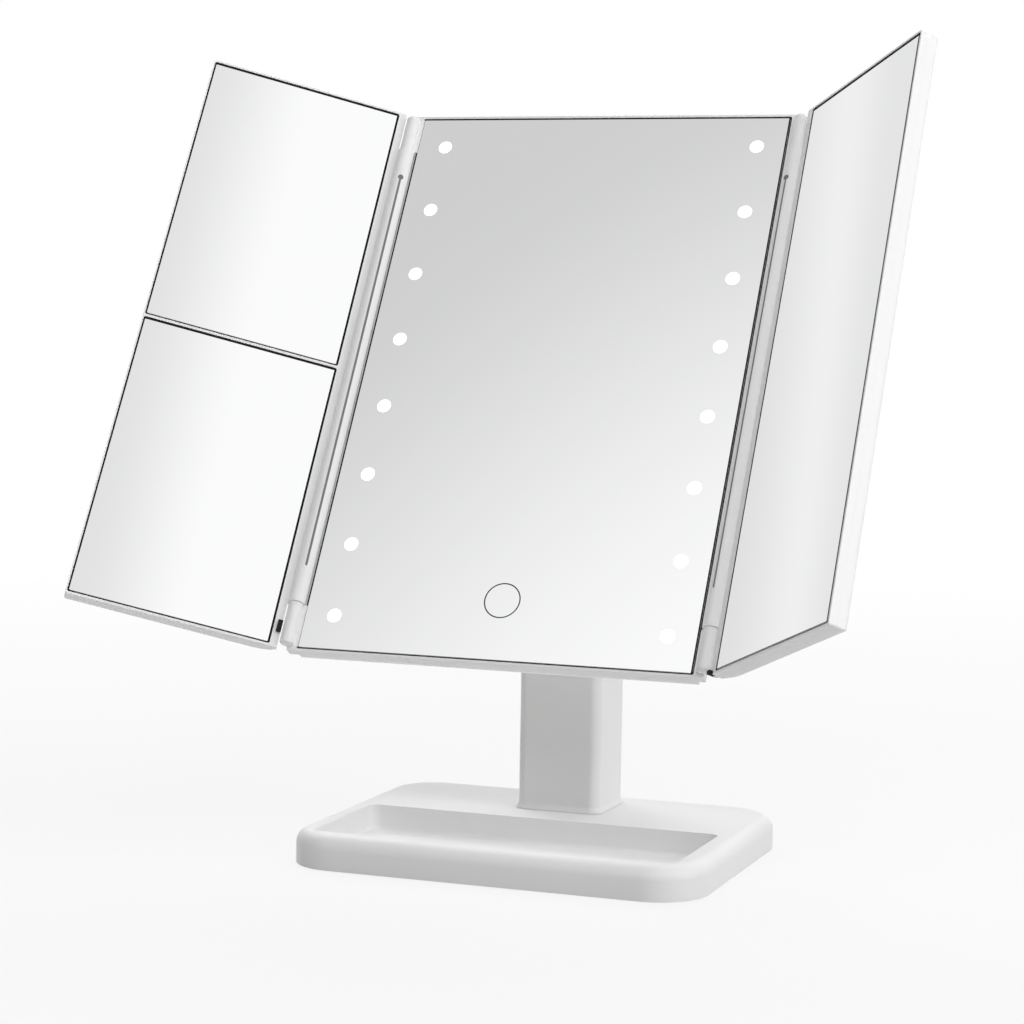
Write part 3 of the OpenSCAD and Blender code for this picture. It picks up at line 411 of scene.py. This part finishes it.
def softened(node, name, body, slot, width_mm):
    """The moulding or glass with its sharp edges rounded, in place of its CAD node."""
    piece = merged_copy(node, name)
    bevel = piece.modifiers.new("round edges", "BEVEL")
    bevel.width = width_mm * MM
    bevel.segments = 2
    bevel.limit_method = "ANGLE"
    bevel.angle_limit = SHARP_ANGLE
    bevel.use_clamp_overlap = True
    flat = piece.modifiers.new("keep flats flat", "WEIGHTED_NORMAL")
    flat.mode = "FACE_AREA"
    flat.weight = 100
    flat.keep_sharp = False
    piece.data.shade_smooth()
    made_plain(piece, name)
    settled(piece, body, slot, node)


def wing_place(side):
    """Matrix from a wing's own frame to the world."""
    way = -1 if side == "left" else 1
    hinge = Matrix.Translation((way * HINGE_X * MM, -HINGE_FRONT * MM, 0))
    turn = Matrix.Rotation(-way * FOLD[side], 4, "Z")
    return HEAD @ hinge @ turn @ Matrix.Diagonal((way, 1, 1, 1))


def prism(outlines, y0, y1):
    """Closed solid between two depths, from an outline and the hole in it, or from an outline alone."""
    shape = bmesh.new()
    rings = [[[shape.verts.new((x * MM, y * MM, z * MM)) for x, z in line] for y in (y0, y1)]
             for line in outlines]
    for front, back in rings:
        for i in range(len(front)):
            j = (i + 1) % len(front)
            shape.faces.new((front[i], front[j], back[j], back[i]))
    for side in (0, 1):
        outer = rings[0][side]
        if len(rings) == 1:
            shape.faces.new(outer)
            continue
        inner = rings[1][side]
        for i in range(len(outer)):
            j = (i + 1) % len(outer)
            shape.faces.new((outer[i], outer[j], inner[j], inner[i]))
    return shape


def placed(name, shape, place, body, slot):
    """Piece from a shape in its own frame, with its faces turned outwards."""
    bmesh.ops.transform(shape, matrix=place, verts=shape.verts)
    bmesh.ops.recalc_face_normals(shape, faces=shape.faces)
    mesh = bpy.data.meshes.new(name)
    shape.to_mesh(mesh)
    shape.free()
    settled(new_piece(name, mesh), body, slot)


def corners(x0, x1, z0, z1):
    return [(x0, z0), (x1, z0), (x1, z1), (x0, z1)]


def edge_band(name, place, body, glass, face_y, widths):
    """Black band along the edges of a mirror, whose glass goes from x0 to x1 and from z0 to z1; the
    gasket's black, widened with painted shade of the gap beside the glass.
    """
    x0, x1, z0, z1 = glass
    left, right, bottom, top = widths
    inner = corners(x0 + left, x1 - right, z0 + bottom, z1 - top)
    band = prism([corners(*glass), inner], face_y - BAND_FRONT, face_y - BAND_BACK)
    # Black gasket finish on a band that is partly painted shade of the gap
    placed(name, band, place, body, "black_gasket")


def edge_bands():
    """The mirrors' black edges: gasket black with painted shade of the gaps, wider where the photograph
    shows a thick line.
    """
    half_w, half_h = MIRROR_W / 2, MIRROR_H / 2
    glass = (-half_w, half_w, -half_h, half_h)
    edge_band("centre_edge_band", HEAD, "head", glass, 0.0, BAND_WIDTHS["centre"])
    for name, side, low, high in (("left_upper_edge_band", "left", SPLIT_HIGH, half_h),
                                  ("left_lower_edge_band", "left", -half_h, SPLIT_LOW),
                                  ("right_edge_band", "right", -half_h, half_h)):
        glass = (GLASS_IN, GLASS_OUT[side], low, high)
        edge_band(name, wing_place(side), side + "_wing", glass, HINGE_FRONT, BAND_WIDTHS[side])


def painted_groove_shades():
    """Painted shade: a dark strip on the floor of each barrel's groove, round at its upper end, that
    darkens the groove beyond its own shade.
    """
    floor_y = -BARREL_R + GROOVE_DEPTH
    half = GROOVE_W / 2 - STRIP_GAP
    round_r = GROOVE_END_R - STRIP_GAP
    opening = math.asin(half / round_r)
    arc = [opening + (2 * math.pi - 2 * opening) * i / STRIP_STEPS for i in range(STRIP_STEPS + 1)]
    outline = [(-half, GROOVE_BOTTOM), (half, GROOVE_BOTTOM)]
    outline += [(round_r * math.sin(a), GROOVE_TOP - round_r * math.cos(a)) for a in arc]
    for side in ("left", "right"):
        turned = wing_place(side) @ Matrix.Rotation(GROOVE_TURN[side], 4, "Z")
        # The dark strip is painted shade of the groove
        strip = prism([outline], floor_y - STRIP_T, floor_y)
        placed(side + "_groove_shade_strip", strip, turned, side + "_wing", "grey_rubber")


def node_group(name, sizes):
    """Empty geometry tree with a length or count input for each named size."""
    group = bpy.data.node_groups.new(name, "GeometryNodeTree")
    for size, value in sizes.items():
        kind = "NodeSocketInt" if isinstance(value, int) else "NodeSocketFloat"
        group.interface.new_socket(name=size, in_out="INPUT", socket_type=kind)
    group.interface.new_socket(name="Geometry", in_out="OUTPUT", socket_type="NodeSocketGeometry")
    tree = Tree(group)
    return group, tree, tree.node("NodeGroupInput")


def grown(name, group, sizes, body, slot, replaced=None):
    """Plain mesh made by a geometry tree in the head's frame, riding on a body."""
    piece = new_piece(name, bpy.data.meshes.new(name))
    growth = piece.modifiers.new(group.name, "NODES")
    growth.node_group = group
    for socket in group.interface.items_tree:
        if socket.in_out == "INPUT":
            growth[socket.identifier] = sizes[socket.name]
    made_plain(piece, name)
    piece.data.transform(HEAD)
    settled(piece, body, slot, replaced)


def joined(tree, shapes):
    """Several shapes as one."""
    joint = tree.node("GeometryNodeJoinGeometry")
    for shape in shapes:
        tree.tree.links.new(shape.socket, joint.made.inputs["Geometry"])
    return joint["Geometry"]


def copies(tree, shape, count, start, step):
    """Copies of a shape in a row, each one step from the one before."""
    inputs = {"Count": count, "Start Location": start, "Offset": step}
    row = tree.node("GeometryNodeMeshLine", None, inputs)["Mesh"]
    inputs = {"Points": row, "Instance": shape}
    return tree.node("GeometryNodeInstanceOnPoints", None, inputs)["Instances"]


def finish_tree(tree, shapes, material):
    """Joins the shapes, makes them real, gives them their finish and ends the tree."""
    real = tree.node("GeometryNodeRealizeInstances", None, {"Geometry": joined(tree, shapes)})
    inputs = {"Geometry": real["Geometry"], "Material": material}
    dressed = tree.node("GeometryNodeSetMaterial", None, inputs)
    tree.node("NodeGroupOutput", None, {"Geometry": dressed["Geometry"]})


def vector(tree, x=0.0, y=0.0, z=0.0):
    return tree.node("ShaderNodeCombineXYZ", None, {"X": x, "Y": y, "Z": z})["Vector"]


def lit_windows():
    """Two columns of frosted windows in the mirror's openings, each a disc with a stepped rim."""
    sizes = {"Count": LIGHT_COUNT, "Pitch": LIGHT_PITCH * MM, "Column": LIGHT_X * MM,
             "Top": LIGHT_TOP * MM, "Radius": WINDOW_R * MM, "Thickness": WINDOW_T * MM}
    group, tree, size = node_group("lit_windows", sizes)
    rim = size["Thickness"] * WINDOW_RIM
    discs = []
    for radius, depth, back in ((size["Radius"], size["Thickness"] - rim, rim),
                                (size["Radius"] - rim, rim, 0.0)):
        inputs = {"Vertices": WINDOW_SIDES, "Side Segments": 1, "Fill Segments": 1,
                  "Radius": radius, "Depth": depth}
        disc = tree.node("GeometryNodeMeshCylinder", None, inputs)["Mesh"]
        place = {"Geometry": disc, "Translation": vector(tree, y=depth * 0.5 + back),
                 "Rotation": (math.radians(90), 0, 0)}
        discs.append(tree.node("GeometryNodeTransform", None, place)["Geometry"])
    window = joined(tree, discs)
    columns = []
    for side in (-1, 1):
        top = vector(tree, size["Column"] * side, 0.0, size["Top"])
        down = vector(tree, z=size["Pitch"] * -1)
        columns.append(copies(tree, window, size["Count"], top, down))
    finish_tree(tree, columns, finishes["frosted_window"])
    grown("lit_windows", group, sizes, "head", "frosted_window", "led_windows")


def row_of_bars(name, count, pitch, bar, place, body, slot):
    """Small bars side by side; bar is one bar's size and place the middle of the row."""
    sizes = {"Count": count, "Pitch": pitch * MM, "Bar width": bar[0] * MM, "Bar depth": bar[1] * MM,
             "Bar height": bar[2] * MM, "Left": (place[0] - pitch * (count - 1) / 2) * MM,
             "Back": place[1] * MM, "Up": place[2] * MM}
    group, tree, size = node_group(name, sizes)
    inputs = {"Size": vector(tree, size["Bar width"], size["Bar depth"], size["Bar height"])}
    shape = tree.node("GeometryNodeMeshCube", None, inputs)["Mesh"]
    start = vector(tree, size["Left"], size["Back"], size["Up"])
    bars = copies(tree, shape, size["Count"], start, vector(tree, size["Pitch"]))
    finish_tree(tree, [bars], finishes[slot])
    grown(name, group, sizes, body, slot)


def back_details():
    """Tongue and contacts inside the power inlet, and ribs on the switch's tab."""
    row_of_bars("inlet_tongue", 1, 0.0, (6.2, 4.2, 0.7), (INLET_X, BACK_Y - 3.4, BOARD_Z),
                "head", "dark_plastic")
    row_of_bars("inlet_contacts", 8, 0.62, (0.3, 3.4, 0.12), (INLET_X, BACK_Y - 3.2, BOARD_Z + 0.36),
                "head", "copper_pad")
    row_of_bars("switch_ribs", 4, 0.85, (0.35, 0.25, 2.8), (SWITCH_X, BACK_Y + 1.0, BOARD_Z),
                "power_switch", "grey_plastic")


# Studio

def camera():
    """The photograph's viewpoint."""
    data = bpy.data.cameras.new("view")
    data.sensor_width = SENSOR
    data.lens = LENS
    data.clip_start = 0.05
    data.clip_end = 20.0
    right = Vector(CAMERA_RIGHT)
    back = right.cross(Vector(CAMERA_UP)).normalized()
    up = back.cross(right).normalized()
    turn = Matrix((right.normalized(), up, back)).transposed().to_4x4()
    seat = bpy.data.objects.new("view", data)
    seat.matrix_world = Matrix.Translation(CAMERA_PLACE) @ turn
    bpy.context.scene.collection.objects.link(seat)
    bpy.context.scene.camera = seat


def soft_light(name, place, target_height, size, power):
    """Round soft lamp that gloss and mirrors don't show, aimed at a height above the origin."""
    data = bpy.data.lights.new(name, "AREA")
    data.shape = "DISK"
    data.size = size
    data.energy = power
    lamp = bpy.data.objects.new(name, data)
    lamp.location = place
    lamp.rotation_mode = "QUATERNION"
    aim = Vector((0, 0, target_height)) - Vector(place)
    lamp.rotation_quaternion = aim.to_track_quat("-Z", "Y")
    lamp.visible_glossy = False
    bpy.context.scene.collection.objects.link(lamp)


def towards(tree, direction, axis):
    """How far a direction leans towards an axis, from -1 to 1."""
    inputs = {0: direction, 1: tuple(Vector(axis).normalized())}
    return tree.node("ShaderNodeVectorMath", {"operation": "DOT_PRODUCT"}, inputs)["Value"]


def screens(tree):
    """How far the grey screens darken the studio in a direction, from 0 to 1."""
    direction = tree.node("ShaderNodeTexCoord")["Generated"]
    centre = towards(tree, direction, CENTRE_SCREEN["axis"]).step(*CENTRE_SCREEN["fade"])
    side = towards(tree, direction, CENTRE_SCREEN["side_axis"])
    centre = centre * side.step(*CENTRE_SCREEN["side_fade"])
    left = towards(tree, direction, LEFT_SCREEN["axis"])
    left = (left.step(*LEFT_SCREEN["rise"]) - left.step(*LEFT_SCREEN["fall"])) * LEFT_SCREEN["dark"]
    lean = towards(tree, direction, RIGHT_SCREEN["axis"])
    dip = lean.step(*RIGHT_SCREEN["dip"]) * RIGHT_SCREEN["dip_by"]
    rise = lean.step(*RIGHT_SCREEN["rise"]) * RIGHT_SCREEN["rise_by"]
    side = towards(tree, direction, RIGHT_SCREEN["side_axis"])
    right = (RIGHT_SCREEN["dark"] - dip + rise) * side.step(*RIGHT_SCREEN["side_fade"])
    return centre.most(left).most(right)


def studio_world():
    """Even white studio. In the mirrors it has soft grey screens, one where each mirror points."""
    world = bpy.data.worlds.new("studio")
    world.use_nodes = True
    bpy.context.scene.world = world
    tree = Tree(world.node_tree)
    world.node_tree.nodes.clear()
    mirror_level = 1 - screens(tree)
    path = tree.node("ShaderNodeLightPath")
    seen = path["Is Camera Ray"].most(path["Is Glossy Ray"]).most(path["Is Transmission Ray"])
    mirror_level = mirror_level.most(path["Is Camera Ray"])
    shown = tree.node("ShaderNodeBackground", None, {"Color": grey(1.0), "Strength": mirror_level})
    light = tree.node("ShaderNodeBackground", None, {"Color": grey(1.0), "Strength": AMBIENT})
    inputs = {0: seen, 1: light["Background"], 2: shown["Background"]}
    mixed = tree.node("ShaderNodeMixShader", None, inputs)
    tree.node("ShaderNodeOutputWorld", None, {"Surface": mixed["Shader"]})


def table_top():
    """Pale floor on which a light trace of the mirror's shadow is seen, white further out."""
    shape = bmesh.new()
    bmesh.ops.create_grid(shape, x_segments=8, y_segments=8, size=FLOOR_HALF)
    mesh = bpy.data.meshes.new("table_top")
    shape.to_mesh(mesh)
    shape.free()
    floor = new_piece("table_top", mesh)
    finish = Finish("pale_table", Roughness=0.9, Specular_IOR_Level=0.0)
    cloud = finish.noise(90, 3.0)
    finish.feed(Base_Color=finish.blend(cloud, grey(0.64), grey(0.62)))
    path = finish.node("ShaderNodeLightPath")
    glow = finish.node("ShaderNodeEmission", None, {"Color": grey(1.0), "Strength": 1.0})
    distance = finish.node("ShaderNodeVectorMath", {"operation": "LENGTH"}, {0: finish.place})["Value"]
    seen = path["Is Camera Ray"].most(path["Is Glossy Ray"]) * distance.step(*FLOOR_GLOW)
    inputs = {0: seen, 1: finish.surface["BSDF"], 2: glow["Emission"]}
    mixed = finish.node("ShaderNodeMixShader", None, inputs)
    finish.tree.links.new(mixed["Shader"].socket, finish.output.made.inputs["Surface"])
    dress(floor, finish.material)


def studio():
    """Camera, floor, surroundings and lamps."""
    bpy.context.scene.view_settings.view_transform = "Standard"
    camera()
    table_top()
    studio_world()
    for name, (place, target_height, size, power) in LAMPS.items():
        soft_light(name, place, target_height, size, power)


def write_sizes():
    bpy.context.view_layer.update()


with open("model.json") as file:
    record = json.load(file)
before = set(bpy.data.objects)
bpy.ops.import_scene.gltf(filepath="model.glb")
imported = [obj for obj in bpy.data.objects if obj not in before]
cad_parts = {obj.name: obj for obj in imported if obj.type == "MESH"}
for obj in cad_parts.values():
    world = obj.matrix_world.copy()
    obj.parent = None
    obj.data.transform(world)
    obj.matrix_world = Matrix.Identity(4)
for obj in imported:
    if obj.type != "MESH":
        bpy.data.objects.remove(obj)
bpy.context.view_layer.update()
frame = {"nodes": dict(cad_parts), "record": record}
finishes = make_finishes()
slots = {part["node"]: part["material_slot"] for part in frame["record"]["subparts"]}
for node_name, cad_node in frame["nodes"].items():
    dress(cad_node, finishes[slots[node_name]])
for node_name, (piece_name, body_name, width) in SOFT_EDGES.items():
    softened(node_name, piece_name, body_name, slots[node_name], width)
# Gasket black and painted shade along the mirrors' edges
edge_bands()
# Painted shade in the hinge grooves
painted_groove_shades()
lit_windows()
back_details()

# The mirrors show the studio only
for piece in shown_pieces():
    piece.visible_glossy = False

studio()
write_sizes()
